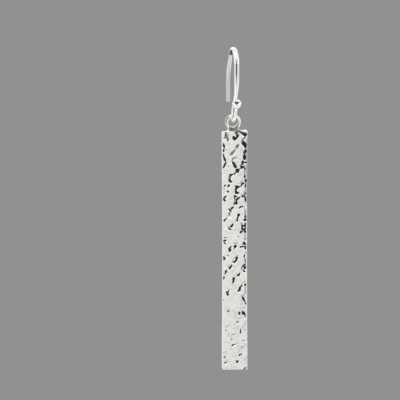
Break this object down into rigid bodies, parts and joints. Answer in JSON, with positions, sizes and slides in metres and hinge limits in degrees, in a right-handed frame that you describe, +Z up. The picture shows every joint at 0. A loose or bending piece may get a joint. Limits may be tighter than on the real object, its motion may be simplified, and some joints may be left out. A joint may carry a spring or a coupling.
{
  "type": "bar earring",
  "caption": "Long flat hammered silver bar earring that hangs by a ring from a ball-ended ear hook.",
  "frame": {"origin": "inside of the hook's crest, in the middle of the wire, where it sits in the ear lobe", "axes": "+Z up, along the hanging bar; +Y towards the back, so the hammered face looks along -Y; +X to the right seen from the front"},
  "size_m": [0.005, 0.009, 0.0673],
  "materials": {
    "hook_silver": "polished silver wire",
    "bar_silver": "polished silver with a hammered face, slightly darker in its sharpest strikes"
  },
  "bodies": {
    "hook": {"ear_hook": "hook_silver"},
    "drop": {"bar_drop": "bar_silver"}
  },
  "joints": [
    {"name": "bar_swing", "type": "hinge", "parent": "hook", "child": "drop", "pos_m": [0, -0.00063, -0.01303], "axis": [1, 0, 0], "range_deg": [-80, 80]}
  ]
}
